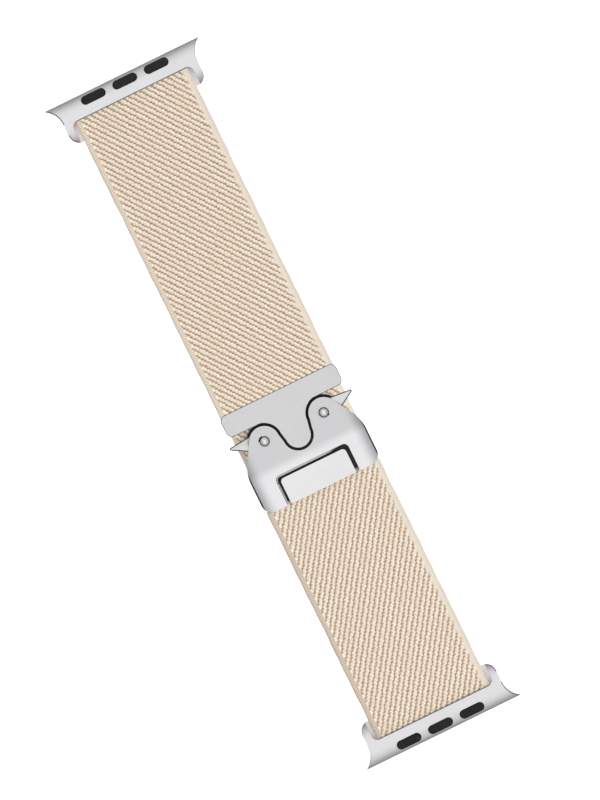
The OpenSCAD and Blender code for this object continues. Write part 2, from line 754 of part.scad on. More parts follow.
module upper_connector() { connector(true); }
module upper_strap_bar() { strap_bar(true); }
module upper_latch_button() { latch_button(true); }
module upper_latch_spring() { latch_spring(true); }
module upper_latch_plug() { latch_plug(true); }
module upper_left_pad() { pad(true, -1); }
module upper_right_pad() { pad(true, 1); }
module lower_connector() { connector(false); }
module lower_strap_bar() { strap_bar(false); }
module lower_latch_button() { latch_button(false); }
module lower_latch_spring() { latch_spring(false); }
module lower_latch_plug() { latch_plug(false); }
module lower_left_pad() { pad(false, 1); }
module lower_right_pad() { pad(false, -1); }

front_cover();
back_plate();
left_pawl();
right_pawl();
left_rivet();
right_rivet();
left_pawl_spring();
right_pawl_spring();
clamp_lever();
lever_pin();
cover_screws();
hook_plate();
hook_clamp_plate();
hook_screws();
upper_strap();
lower_strap();
upper_connector();
upper_strap_bar();
upper_latch_button();
upper_latch_spring();
upper_latch_plug();
upper_left_pad();
upper_right_pad();
lower_connector();
lower_strap_bar();
lower_latch_button();
lower_latch_spring();
lower_latch_plug();
lower_left_pad();
lower_right_pad();
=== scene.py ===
"""Looks of the fabric watch strap: twill webbing, satin clasp, blasted case connectors."""

import math

import bmesh
import bpy
import numpy as np
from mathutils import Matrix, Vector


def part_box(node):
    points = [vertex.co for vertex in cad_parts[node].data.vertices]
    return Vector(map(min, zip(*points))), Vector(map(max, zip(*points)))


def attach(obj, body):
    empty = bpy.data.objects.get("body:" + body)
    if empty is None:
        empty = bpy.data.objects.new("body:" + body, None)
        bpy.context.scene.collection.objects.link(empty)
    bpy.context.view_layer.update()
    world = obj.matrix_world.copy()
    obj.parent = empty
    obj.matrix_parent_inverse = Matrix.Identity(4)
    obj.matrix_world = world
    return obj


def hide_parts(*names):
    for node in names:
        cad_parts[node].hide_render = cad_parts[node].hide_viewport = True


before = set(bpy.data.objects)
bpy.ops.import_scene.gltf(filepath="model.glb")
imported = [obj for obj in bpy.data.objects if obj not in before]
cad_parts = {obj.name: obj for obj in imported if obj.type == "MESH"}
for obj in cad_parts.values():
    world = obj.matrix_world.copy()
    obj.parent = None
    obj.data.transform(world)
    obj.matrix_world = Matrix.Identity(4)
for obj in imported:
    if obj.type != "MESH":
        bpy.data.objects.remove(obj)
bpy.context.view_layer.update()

MM = 0.001

# The photograph: straight above the strap, which lies 26 degrees off upright
PHOTO_TURN = math.radians(-26.1)
PHOTO_CENTRE = (3.266 * MM, -0.881 * MM)
PHOTO_HEIGHT = 153.2 * MM
PHOTO_LEVEL = 3.0 * MM
FOCAL_LENGTH = 300.0
SENSOR = 36.0

# The room: how fast it dims towards its sides and ends, and its tones from straight below, 0,
# over the horizon, 0.5, to straight above, 1
ROOM_SIDES = 2.5
ROOM_ENDS = 0.5
ROOM_BELOW = 0.24
ROOM_TONES = ((0.5, 0.42), (0.565, 0.44), (0.73, 0.52), (0.785, 0.64), (0.915, 0.83))
ROOM_ABOVE = 1.0
ROOM_BLUE = 1.01

# Webbing, as in the part's source
LAYER = 0.75 * MM
STRAP_Z0 = 1.5 * MM
BAR_CLEAR = 0.04 * MM
LOOP_RUN = 2.5 * MM
HOOK_END = 0.10 * MM
SPLIT_RUN = 7.5 * MM
RAMP_GAP = 1.0 * MM
TONGUE_INSET = 0.3 * MM
TONGUE_CORNER = 2.0 * MM
NECK_HALF = 6.7 * MM
NECK_SHOULDER = 0.65 * MM

# Its mesh: the points' spacing on the front and back layers and those across the inner face,
# the rounding of its edges, and their wobble as size, length and start of two waves
FRONT_STEP = 0.165 * MM
BACK_STEP = 0.21 * MM
INNER_POINTS = 23
EDGE_ROUND = 0.34 * MM
EDGE_WOBBLE = ((0.03 * MM, 0.83 * MM, 0.0), (0.04 * MM, 2.9 * MM, 1.0))

# Twill, in millimetres: ribs of floats, a third of a rib's period over from row to row
HALF_WIDTH = 12.0
RIB_PERIOD = 1.17
FLOAT_ROWS = 3.0
UPPER_ROWS = 0.522
LOWER_ROWS = 0.574
RELIEF = 0.15
# Waves that make up its relief: turns per rib, turns per row, height, phase and twist in degrees
TWILL_WAVES = (
    (1, 0, 1.00, 0, 0),
    (0, 1, 0.30, 0, 0),
    (1, -1, 0.30, -168, 20),
    (2, 0, 0.24, -155, 8),
    (2, -1, 0.16, -176, 19),
)
WAVE_REACH = 1.45
# How the yarns drift off their lines: two waves across and two along, each given by its
# turning across, its turning along and its start
FLOAT_DRIFT = 0.05
DRIFT_WAVES = ((2.6, 1.3, 0.0), (-1.1, 4.7, 2.0), (3.1, -1.7, 1.0), (1.9, 3.9, 4.0))
# Selvedges: corded on the left, with the ribs' round heads beside it, and plain on the right;
# each fades into the twill between two distances from its edge
LEFT_FADE = (0.90, 1.10)
CORD_PITCH = 0.42
CORD_LOW = 0.45
CORD_RISE = 0.30
HEAD_PLACE = 1.26
HEAD_WIDTH = 0.30
HEAD_LENGTH = 0.46
RIGHT_FADE = (0.85, 1.45)
RIGHT_WANDER = 0.16
RIGHT_WANDER_TURN = 1.9
PLAIN_HEIGHT = 0.80
# Painted shade: the plain selvedge darkens over this distance towards its rounded edge
PLAIN_SHADE = 0.825

# Colours of the yarns, with a painted highlight on the floats' crowns
FLANK = (0.70, 0.58, 0.455)
CROWN_HIGHLIGHT = (1.0, 0.895, 0.775)
DARK_DYE = (0.66, 0.51, 0.37)
COLUMN_SHADE = (0.62, 0.49, 0.37)
# Painted shade in the cords' valleys, lighter on their ridges
CORD_VALLEY = (0.47, 0.385, 0.31)
CORD_RIDGE = (0.86, 0.74, 0.62)
PLAIN_INNER = (0.76, 0.675, 0.57)
PLAIN_EDGE_SHADE = (0.585, 0.53, 0.47)
FILAMENT_GAP = (0.60, 0.47, 0.35)
# How they lie over each other, from painted shade in the gaps to a painted highlight on the
# crowns: heights that one fades to the next between, and shares
GAP_TO_FLANK = (0.08, 0.50)
FLANK_TO_CROWN = (0.50, 0.95)
DYE_FADE = (0.40, 1.0, 0.0, 0.24)
COLUMN_SHARE = 0.10
CORDED_SHARE = 0.85
PLAIN_SHARE = 0.90
FILAMENT_FADE = (0.35, 0.65, 0.12, 0.0)
WEAVE_ROUGHNESS = (0.0, 1.0, 0.95, 0.72)
# Noise on the yarns, per millimetre: filaments, drawn out along the webbing, and uneven dye
FILAMENT_SCALE = 16.0
FILAMENT_STRETCH = 0.35
DYE_SCALE = 0.35
LONE_SHARE = 0.6
CLOUD_SHARE = 0.8

# The clasp: the rim of the cover's cut-out, whose three heights are given below the cover's top
# and whose right end tapers, and the dark sheet round each lobe, painted shade in the seam under
# the bar
RIM_X = 7.7 * MM
RIM_Y = -12.05 * MM
RIM_CORNER = 1.0 * MM
RIM_START = 0.06 * MM
RIM_WIDTH = 0.26 * MM
RIM_DROPS = (0.20 * MM, 0.32 * MM, 0.60 * MM)
RIM_TAPER = (0.75, 1.0, 0.9)
SEAM_SHADE_RADII = (2.6 * MM, 3.5 * MM)
SEAM_SHADE_TURNS = (-30.0, 210.0)
SEAM_SHADE_INSET = 0.05 * MM

# Case connectors, as in the part's source
LIP_DEPTH = 4.3 * MM
LIP_HALF = 11.9 * MM
FLANK_X = 14.25 * MM
FLARE = (2.25 * MM, 3.8 * MM)
BARREL_DEPTH = 3.0 * MM
LEG_DEPTH = 8.35 * MM
LEG_ROUND = 2.1 * MM
LEG_RUN = 3.65 * MM
LEG_TOP = 0.3
# Their fine lines of painted shade, in millimetres: the lip's width and its top's and foot's
# depth, then the width of a flank's line in each metal, its distance from the edge and its top and
# foot
LIP_LINE = (0.16, 0.02, 0.30)
FLANK_LINE = {"edge": 0.20, "flank": 0.14}
FLANK_LINE_INSET = 0.02
FLANK_LINE_TOP = 0.015
FLANK_LINE_FOOT = -0.25

# Noise on metal and rubber, per metre: clouds, and the handling marks that stand out of it
CLOUD_SCALE = 160.0
SCUFF_SCALE = 900.0
SCUFF_FADE = (0.62, 0.74)
# How far the clouds darken a metal, the colour of the painted shade line at a foot, and the depth
# of the grain
CLOUD_FADE = (0.35, 0.75, 0.0, 0.35)
FOOT_COLOUR = (0.07, 0.07, 0.07)
METAL_GRAIN_DEPTH = 0.004 * MM

# Metals: colour, roughness, grain size in millimetres, and what else sets one apart
METALS = {
    # Painted shade: the cover darkens towards its lobes, with a dark line at the foot of its
    # rolled sides
    "cover": dict(name="cover_satin", colour=(0.92, 0.91, 0.925),
                  tone=(1, -11.6, -9.4, 0.76), foot_line=(2.5, 3.2)),
    "bar": dict(name="bar_satin", colour=(0.745, 0.735, 0.745)),
    "rim": dict(name="rim_satin", colour=(0.80, 0.79, 0.80)),
    "lever": dict(name="lever_satin", colour=(0.91, 0.91, 0.915)),
    # Painted shade: the dark bevels, rings and lines that outline the pieces
    "edge": dict(name="edge_painted_shade", colour=(0.10, 0.10, 0.105), roughness=0.30),
    # Painted shade: the pawls go near black inside the housing, where the seams show them
    "pawl": dict(name="pawl_satin", colour=(0.80, 0.80, 0.80), roughness=0.32, stretch=0.3,
                 tone=(0, 9.0, 8.0, 0.06)),
    # Painted shade: the back plate goes near black on its upper face, seen through the seams
    "back": dict(name="back_satin", colour=(0.72, 0.72, 0.72), tone=(2, 1.3, 1.4, 0.06)),
    # Painted shade: near black on faces in deep shade and on the sheets in the clasp's seams
    "inside": dict(name="inside_black", colour=(0.05, 0.05, 0.05), roughness=0.5),
    "rivet": dict(name="rivet_polished", colour=(0.95, 0.94, 0.95), roughness=0.16),
    "connector": dict(name="connector_blasted", colour=(0.88, 0.87, 0.88), roughness=0.38,
                      size=0.09),
    # Painted shade: the lighter grey of the connectors' flank lines
    "flank": dict(name="flank_grey", colour=(0.62, 0.61, 0.62), roughness=0.38, size=0.09),
    "spring": dict(name="spring_steel", colour=(0.55, 0.55, 0.57), roughness=0.25, size=0.05,
                   stretch=0.1),
}


# Picking pieces, and wiring their shaders


def deselect():
    for thing in bpy.context.selected_objects:
        thing.select_set(False)


def pick(piece):
    """Makes this the one piece that the next operators work on."""
    deselect()
    piece.select_set(True)
    bpy.context.view_layer.objects.active = piece


def new_material(name):
    material = bpy.data.materials.new(name)
    material.use_nodes = True
    return material, material.node_tree.nodes["Principled BSDF"]


def rgba(colour, factor=1.0):
    return tuple(min(1.0, factor * c) for c in colour) + (1,)


class Wiring:
    """Adds nodes to one tree and joins them, so that a formula reads in order."""

    def __init__(self, tree):
        self.nodes = tree.nodes
        self.links = tree.links

    def add(self, kind, **sockets):
        node = self.nodes.new(kind)
        for name, value in sockets.items():
            self.feed(node, name.replace("_", " "), value)
        return node

    def feed(self, node, name, value):
        if isinstance(value, bpy.types.NodeSocket):
            self.links.new(value, node.inputs[name])
        else:
            node.inputs[name].default_value = value

    def math(self, operation, *values):
        node = self.nodes.new("ShaderNodeMath")
        node.operation = operation
        for number, value in enumerate(values):
            self.feed(node, number, value)
        return node.outputs[0]

    def vector(self, *values):
        node = self.nodes.new("ShaderNodeCombineXYZ")
        for number, value in enumerate(values):
            self.feed(node, number, value)
        return node.outputs[0]

    def mix(self, factor, first, second):
        node = self.nodes.new("ShaderNodeMix")
        node.data_type = "RGBA"
        self.feed(node, "Factor", factor)
        self.feed(node, 6, first)
        self.feed(node, 7, second)
        return node.outputs[2]

    def fade(self, value, low, high, to_low=0.0, to_high=1.0):
        node = self.nodes.new("ShaderNodeMapRange")
        node.interpolation_type = "SMOOTHSTEP"
        self.feed(node, "Value", value)
        self.feed(node, "From Min", low)
        self.feed(node, "From Max", high)
        self.feed(node, "To Min", to_low)
        self.feed(node, "To Max", to_high)
        return node.outputs[0]

    def noise(self, vector, scale, detail=2.0):
        return self.add("ShaderNodeTexNoise", Vector=vector, Scale=scale, Detail=detail).outputs[0]

    def bump(self, height, distance, strength):
        node = self.add("ShaderNodeBump", Height=height, Distance=distance, Strength=strength)
        return node.outputs[0]


def new_group(name, inputs, outputs):
    """A shader node group with named sockets, each given as (name, kind)."""
    tree = bpy.data.node_groups.new(name, "ShaderNodeTree")
    for sockets, in_out in ((inputs, "INPUT"), (outputs, "OUTPUT")):
        for socket, kind in sockets:
            tree.interface.new_socket(socket, in_out=in_out, socket_type="NodeSocket" + kind)
    given = tree.nodes.new("NodeGroupInput").outputs
    out = tree.nodes.new("NodeGroupOutput").inputs
    return tree, Wiring(tree), given, out


def place_group(wiring, tree, **sockets):
    node = wiring.nodes.new("ShaderNodeGroup")
    node.node_tree = tree
    for name, value in sockets.items():
        wiring.feed(node, name.replace("_", " "), value)
    return node.outputs


# Camera, light and floor


def place_camera():
    data = bpy.data.cameras.new("photo_camera")
    data.lens = FOCAL_LENGTH
    data.sensor_width = SENSOR
    data.clip_start = 0.01
    data.clip_end = 20.0
    camera = bpy.data.objects.new("photo_camera", data)
    distance = PHOTO_HEIGHT * FOCAL_LENGTH / SENSOR
    camera.location = (*PHOTO_CENTRE, distance + PHOTO_LEVEL)
    camera.rotation_euler = (0.0, 0.0, PHOTO_TURN)
    bpy.context.scene.collection.objects.link(camera)
    bpy.context.scene.camera = camera


def add_softbox(name, direction, distance, size, power):
    """A square area light that faces the strap, its place given in the photograph's own axes."""
    right = np.array([math.cos(PHOTO_TURN), math.sin(PHOTO_TURN), 0.0])
    up = np.array([-math.sin(PHOTO_TURN), math.cos(PHOTO_TURN), 0.0])
    towards = direction[0] * right + direction[1] * up + direction[2] * np.array([0, 0, 1])
    towards = towards / np.linalg.norm(towards)
    data = bpy.data.lights.new(name, "AREA")
    data.shape = "SQUARE"
    data.size = size
    data.energy = power
    light = bpy.data.objects.new(name, data)
    light.visible_glossy = False
    light.location = towards * distance
    tilt = math.acos(towards[2])
    turn = math.atan2(towards[1], towards[0]) + math.pi / 2
    light.rotation_euler = (tilt, 0.0, turn)
    bpy.context.scene.collection.objects.link(light)


def build_studio():
    """A pale room, bright overhead along the strap and dimmer towards its sides and walls."""
    world = bpy.data.worlds.new("studio")
    world.use_nodes = True
    w = Wiring(world.node_tree)
    towards = w.nodes.new("ShaderNodeTexCoord").outputs["Generated"]
    x, y, z = w.add("ShaderNodeSeparateXYZ", Vector=towards).outputs
    sides = w.math("MULTIPLY", w.math("MULTIPLY", x, x), ROOM_SIDES)
    ends = w.math("MULTIPLY", w.math("MULTIPLY", y, y), ROOM_ENDS)
    spread = w.math("SQRT", w.math("ADD", w.math("MULTIPLY", z, z), w.math("ADD", sides, ends)))
    height = w.math("MULTIPLY_ADD", w.math("DIVIDE", z, spread), 0.5, 0.5)
    shades = w.nodes.new("ShaderNodeValToRGB")
    stops = shades.color_ramp.elements
    stops[0].color = rgba((ROOM_BELOW,) * 3)
    stops[1].color = rgba((ROOM_ABOVE,) * 3)
    for place, tone in ROOM_TONES:
        stops.new(place).color = rgba((tone, tone, tone * ROOM_BLUE))
    w.links.new(height, shades.inputs[0])
    w.links.new(shades.outputs[0], w.nodes["Background"].inputs["Color"])
    bpy.context.scene.world = world
    add_softbox("key_softbox", direction=(0.75, 0.15, 1.0), distance=0.9, size=0.5, power=4.4)
    bpy.context.scene.view_settings.view_transform = "Standard"


def build_floor():
    deselect()
    bpy.ops.mesh.primitive_plane_add(size=4.0, location=(0, 0, -0.02 * MM))
    floor = bpy.context.object
    floor.name = "studio_floor"
    material, shader = new_material("floor_paper")
    shader.inputs["Base Color"].default_value = (0.93, 0.93, 0.93, 1)
    shader.inputs["Roughness"].default_value = 0.9
    shader.inputs["Emission Color"].default_value = (1, 1, 1, 1)
    shader.inputs["Emission Strength"].default_value = 0.6
    floor.data.materials.append(material)
    floor.visible_glossy = False


# Materials


def make_twill_group():
    """Height of the weave at a place across and along the webbing, both in millimetres, with
    masks of its parts. webbing_height works out the same height for the mesh."""
    tree, w, given, out = new_group(
        "twill",
        [("Across", "Float"), ("Along", "Float"), ("Lean", "Float"), ("Rows", "Float")],
        [("Height", "Float"), ("Float Number", "Vector"), ("Cords", "Float"),
         ("Left Edge", "Float"), ("Right Edge", "Float"), ("Column", "Float")],
    )
    across, along, lean, pitch = given["Across"], given["Along"], given["Lean"], given["Rows"]

    drift = []
    for turn_across, turn_along, start in DRIFT_WAVES:
        angle = w.math("MULTIPLY_ADD", along, turn_along, start)
        drift.append(w.math("SINE", w.math("MULTIPLY_ADD", across, turn_across, angle)))
    x = w.math("MULTIPLY_ADD", w.math("ADD", drift[0], drift[1]), FLOAT_DRIFT, across)
    y = w.math("MULTIPLY_ADD", w.math("ADD", drift[2], drift[3]), FLOAT_DRIFT, along)
    rows = w.math("DIVIDE", y, pitch)
    leaning_rows = w.math("MULTIPLY", rows, lean)
    ribs = w.math("MULTIPLY_ADD", leaning_rows, 1 / FLOAT_ROWS, w.math("DIVIDE", x, RIB_PERIOD))
    total = 0.0
    for per_rib, per_row, size, phase, twist in TWILL_WAVES:
        turns = w.math("MULTIPLY_ADD", ribs, per_rib, w.math("MULTIPLY", leaning_rows, per_row))
        start = w.math("MULTIPLY_ADD", lean, math.radians(twist), math.radians(phase))
        angle = w.math("MULTIPLY_ADD", turns, 2 * math.pi, start)
        total = w.math("MULTIPLY_ADD", w.math("COSINE", angle), size, total)
    weave = w.math("MULTIPLY_ADD", total, 0.5 / WAVE_REACH, 0.5)

    from_left = w.math("ADD", across, HALF_WIDTH)
    from_right = w.math("SUBTRACT", HALF_WIDTH, across)
    wander = w.math("SINE", w.math("MULTIPLY", along, RIGHT_WANDER_TURN))
    from_right = w.math("MULTIPLY_ADD", wander, RIGHT_WANDER, from_right)
    past_left = w.fade(from_left, *LEFT_FADE)
    past_right = w.fade(from_right, *RIGHT_FADE)
    body = w.math("MULTIPLY", weave, w.math("MULTIPLY", past_left, past_right))
    left = w.math("SUBTRACT", 1.0, past_left)
    right = w.math("SUBTRACT", 1.0, past_right)

    first_head = (HEAD_PLACE - HALF_WIDTH) / RIB_PERIOD + 0.5
    turn = w.math("MULTIPLY_ADD", leaning_rows, 1 / FLOAT_ROWS, first_head)
    phase = w.math("SUBTRACT", w.math("FRACT", turn), 0.5)
    head_y = w.math("MULTIPLY", w.math("MULTIPLY", phase, pitch), FLOAT_ROWS / HEAD_LENGTH)
    head_x = w.math("DIVIDE", w.math("SUBTRACT", from_left, HEAD_PLACE), HEAD_WIDTH)
    away = w.math("ADD", w.math("MULTIPLY", head_x, head_x), w.math("MULTIPLY", head_y, head_y))
    head = w.math("SQRT", w.math("MAXIMUM", w.math("SUBTRACT", 1.0, away), 0.0))

    cords = w.math("ABSOLUTE", w.math("SINE", w.math("MULTIPLY", along, math.pi / CORD_PITCH)))
    corded = w.math("MULTIPLY", w.math("MULTIPLY_ADD", cords, CORD_RISE, CORD_LOW), left)
    edges = w.math("MULTIPLY_ADD", right, PLAIN_HEIGHT, corded)
    column = w.math("COSINE", w.math("MULTIPLY", across, 2 * math.pi / RIB_PERIOD))
    for name, result in (
        ("Height", w.math("ADD", w.math("MAXIMUM", body, head), edges)),
        ("Float Number", w.vector(w.math("ROUND", ribs), w.math("ROUND", rows))),
        ("Cords", w.math("MULTIPLY", cords, left)),
        ("Left Edge", left),
        ("Right Edge", right),
        ("Column", w.math("MULTIPLY_ADD", column, 0.5, 0.5)),
    ):
        w.links.new(result, out[name])
    return tree


def make_yarn_group():
    """Fine filaments and uneven dye on a yarn."""
    tree, w, given, out = new_group(
        "yarn", [("Across", "Float"), ("Along", "Float"), ("Number", "Vector")],
        [("Filaments", "Float"), ("Shade", "Float")],
    )
    place = w.vector(given["Across"], w.math("MULTIPLY", given["Along"], FILAMENT_STRETCH))
    lone = w.add("ShaderNodeTexWhiteNoise", Vector=given["Number"]).outputs[0]
    cloud = w.math("MULTIPLY", w.noise(place, DYE_SCALE), CLOUD_SHARE)
    w.links.new(w.noise(place, FILAMENT_SCALE, 3.0), out["Filaments"])
    w.links.new(w.math("MULTIPLY_ADD", lone, LONE_SHARE, cloud), out["Shade"])
    return tree


def make_grain_group():
    """Even fine grain of a blasted, brushed or moulded surface, with faint handling marks."""
    tree, w, given, out = new_group(
        "surface_grain",
        [("Grain Size", "Float"), ("Stretch", "Float"), ("Rub", "Float")],
        [("Grain", "Float"), ("Cloud", "Float"), ("Marks", "Float")],
    )
    place = w.nodes.new("ShaderNodeTexCoord").outputs["Object"]
    node = w.nodes.new("ShaderNodeVectorMath")
    node.operation = "MULTIPLY"
    w.feed(node, 0, place)
    w.feed(node, 1, w.vector(given["Stretch"], 1.0, 1.0))
    stretched = node.outputs[0]
    scuffs = w.fade(w.noise(stretched, SCUFF_SCALE, 6.0), *SCUFF_FADE)
    w.links.new(w.noise(stretched, w.math("DIVIDE", 1.0, given["Grain Size"])), out["Grain"])
    w.links.new(w.noise(place, CLOUD_SCALE), out["Cloud"])
    w.links.new(w.math("MULTIPLY", scuffs, given["Rub"]), out["Marks"])
    return tree


def webbing_material(name, lean, rows, gap, cord_shade, twill, yarn):
    """The ribs' gaps, flanks and crowns by height, with painted shade in the gaps and a painted
    highlight on the crowns, uneven dye over them, then the selvedges, with painted shade in the
    cords' valleys and towards the plain edge.
    """
    material, shader = new_material(name)
    w = Wiring(material.node_tree)
    uv = w.nodes.new("ShaderNodeUVMap")
    uv.uv_map = "weave"
    across, along, _ = w.add("ShaderNodeSeparateXYZ", Vector=uv.outputs[0]).outputs
    weave = place_group(w, twill, Across=across, Along=along, Lean=lean, Rows=rows)
    thread = place_group(w, yarn, Across=across, Along=along, Number=weave["Float Number"])
    # Painted shade in the gaps between the floats, and a painted highlight on their crowns
    low = w.mix(w.fade(weave["Height"], *GAP_TO_FLANK), rgba(gap), rgba(FLANK))
    ribs = w.mix(w.fade(weave["Height"], *FLANK_TO_CROWN), low, rgba(CROWN_HIGHLIGHT))
    dyed = w.mix(w.fade(thread["Shade"], *DYE_FADE), ribs, rgba(DARK_DYE))
    twilled = w.mix(w.math("MULTIPLY", weave["Column"], COLUMN_SHARE), dyed, rgba(COLUMN_SHADE))
    # Painted shade in the cords' valleys, deeper on the lower strap's corded edge
    cords = w.mix(weave["Cords"], rgba(CORD_VALLEY, cord_shade), rgba(CORD_RIDGE, cord_shade))
    corded = w.mix(w.math("MULTIPLY", weave["Left Edge"], CORDED_SHARE), twilled, cords)
    # Painted shade towards the plain selvedge's rounded edge
    outer = w.fade(across, HALF_WIDTH - PLAIN_SHADE, HALF_WIDTH)
    plain = w.mix(outer, rgba(PLAIN_INNER), rgba(PLAIN_EDGE_SHADE))
    edged = w.mix(w.math("MULTIPLY", weave["Right Edge"], PLAIN_SHARE), corded, plain)
    filaments = w.fade(thread["Filaments"], *FILAMENT_FADE)
    w.links.new(w.mix(filaments, edged, rgba(FILAMENT_GAP)), shader.inputs["Base Color"])
    w.links.new(w.fade(weave["Height"], *WEAVE_ROUGHNESS), shader.inputs["Roughness"])
    relief = w.math("MULTIPLY_ADD", weave["Cords"], 3.0, thread["Filaments"])
    w.links.new(w.bump(relief, 0.02 * MM, 0.6), shader.inputs["Normal"])
    shader.inputs["Sheen Weight"].default_value = 0.25
    shader.inputs["Sheen Roughness"].default_value = 0.5
    shader.inputs["Specular IOR Level"].default_value = 0.3
    return material


def metal_material(name, grain, colour, roughness=0.34, size=0.07, stretch=1.0, tone=None,
                   foot_line=None):
    """Satin metal: its colour and roughness vary a little with the grain, the cloud and marks.
    tone is (axis, from, to, factor), painted shade that grows darker along an axis, and foot_line
    the heights that a painted dark line of shade lies between; both are in millimetres."""
    material, shader = new_material(name)
    w = Wiring(material.node_tree)
    face = place_group(w, grain, Grain_Size=size * MM, Stretch=stretch, Rub=0.3)
    darker, lighter = rgba(colour, 0.90), rgba(colour, 1.05)
    body = w.mix(w.fade(face["Grain"], 0.3, 0.7), darker, lighter)
    clouded = w.mix(w.fade(face["Cloud"], *CLOUD_FADE), body, darker)
    marked = w.mix(face["Marks"], clouded, lighter)
    if tone or foot_line:
        place = w.nodes.new("ShaderNodeTexCoord").outputs["Object"]
        along = w.add("ShaderNodeSeparateXYZ", Vector=place).outputs
    # Painted shade, darker along an axis
    if tone:
        axis, start, end, factor = tone
        distance = w.math("ABSOLUTE", along[axis]) if axis == 0 else along[axis]
        marked = w.mix(w.fade(distance, start * MM, end * MM), marked, rgba(colour, factor))
    # Painted shade, a dark line at a foot
    if foot_line:
        low, high = foot_line
        above = w.fade(along[2], (low - 0.05) * MM, low * MM)
        below = w.fade(along[2], high * MM, (high + 0.15) * MM, 1.0, 0.0)
        marked = w.mix(w.math("MULTIPLY", above, below), marked, rgba(FOOT_COLOUR))
    w.links.new(marked, shader.inputs["Base Color"])
    rough = w.math("MULTIPLY_ADD", face["Grain"], 0.10, roughness - 0.05)
    w.links.new(w.math("MULTIPLY_ADD", face["Marks"], -0.08, rough), shader.inputs["Roughness"])
    w.links.new(w.bump(face["Grain"], METAL_GRAIN_DEPTH, 0.7), shader.inputs["Normal"])
    shader.inputs["Metallic"].default_value = 1.0
    return material


def rubber_material(name, grain):
    material, shader = new_material(name)
    w = Wiring(material.node_tree)
    face = place_group(w, grain, Grain_Size=0.12 * MM, Stretch=1.0, Rub=0.8)
    dark, light, rubbed = (0.006, 0.005, 0.006), (0.012, 0.011, 0.012), (0.04, 0.038, 0.04)
    body = w.mix(w.fade(face["Cloud"], 0.3, 0.7), rgba(dark), rgba(light))
    w.links.new(w.mix(face["Marks"], body, rgba(rubbed)), shader.inputs["Base Color"])
    w.links.new(w.math("MULTIPLY_ADD", face["Grain"], 0.15, 0.40), shader.inputs["Roughness"])
    w.links.new(w.bump(face["Grain"], 0.006 * MM, 0.5), shader.inputs["Normal"])
    shader.inputs["Specular IOR Level"].default_value = 0.26
    return material


# Metal and rubber pieces, worked from the frame's own solids


def copied(node, name):
    """A merged copy of a CAD node, its flat faces whole again, ready for its edges."""
    piece = bpy.data.objects.new(name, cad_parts[node].data.copy())
    bpy.context.scene.collection.objects.link(piece)
    piece.data.materials.clear()
    pick(piece)
    bpy.ops.object.mode_set(mode="EDIT")
    bpy.ops.mesh.select_all(action="SELECT")
    bpy.ops.mesh.remove_doubles(threshold=0.001 * MM)
    bpy.ops.mesh.dissolve_limited(angle_limit=math.radians(1.0))
    bpy.ops.object.mode_set(mode="OBJECT")
    return piece


def edge_weights(piece, wanted, sharp=32):
    """Gives each edge sharper than so many degrees the share of the bevel that wanted(middle)
    says."""
    mesh = piece.data
    normals_at = {}
    for face in mesh.polygons:
        for key in face.edge_keys:
            normals_at.setdefault(key, []).append(face.normal)
    weights = mesh.attributes.new("bevel_weight_edge", "FLOAT", "EDGE")
    for edge in mesh.edges:
        normals = normals_at.get(edge.key, [])
        if len(normals) == 2 and normals[0].angle(normals[1], 0.0) >= math.radians(sharp):
            first, second = (mesh.vertices[v].co for v in edge.vertices)
            weights.data[edge.index].value = float(wanted((first + second) / 2))


def finish_edges(piece, width, segments):
    """Bevels the weighted edges, which take the piece's second material, and evens the shading."""
    bevel = piece.modifiers.new("edges", "BEVEL")
    bevel.limit_method = "WEIGHT"
    bevel.width = width * MM
    bevel.segments = segments
    bevel.material = 1
    bevel.use_clamp_overlap = True
    pick(piece)
    bpy.ops.object.modifier_apply(modifier="edges")
    bpy.ops.object.shade_smooth_by_angle(angle=math.radians(30))
    even = piece.modifiers.new("even_normals", "WEIGHTED_NORMAL")
    even.keep_sharp = True
    bpy.ops.object.modifier_apply(modifier="even_normals")


def dress(node, name, body, face, edge, width, wanted=lambda middle: 1.0, segments=2):
    """A CAD node as a finished piece: bevelled edges, with the face's and the edges' materials."""
    piece = copied(node, name)
    piece.data.materials.append(face)
    piece.data.materials.append(edge)
    edge_weights(piece, wanted)
    finish_edges(piece, width, segments)
    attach(piece, body)
    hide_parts(node)
    return piece


def paint(node, material):
    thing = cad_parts[node]
    thing.data.materials.clear()
    thing.data.materials.append(material)


def shade_faces(piece, material, wanted):
    """Gives the faces that wanted(centre, normal) takes a dark material of their own, which paints
    shade on them.
    """
    piece.data.materials.append(material)
    slot = len(piece.data.materials) - 1
    for face in piece.data.polygons:
        if wanted(face.center, face.normal):
            face.material_index = slot


def outline_top(piece, width):
    """Insets the piece's top face and gives the ring round it the edge material, a painted dark
    outline of shade.
    """
    flat = [face for face in piece.data.polygons if face.normal.z > 0.99]
    top = max(face.center.z for face in flat) - 0.01 * MM
    for part in (piece.data.vertices, piece.data.edges, piece.data.polygons):
        part.foreach_set("select", [False] * len(part))
    for face in flat:
        if face.center.z > top:
            face.select = True
            face.material_index = 1
    pick(piece)
    bpy.ops.object.mode_set(mode="EDIT")
    bpy.context.tool_settings.mesh_select_mode = (False, False, True)
    bpy.ops.mesh.inset(thickness=width * MM, use_even_offset=True)
    piece.active_material_index = 0
    bpy.ops.object.material_slot_assign()
    bpy.ops.object.mode_set(mode="OBJECT")


def corners(near, far, upper, lower):
    """A strip's section, between two distances from an edge and two levels."""
    return (near, upper), (far, upper), (far, lower), (near, lower)


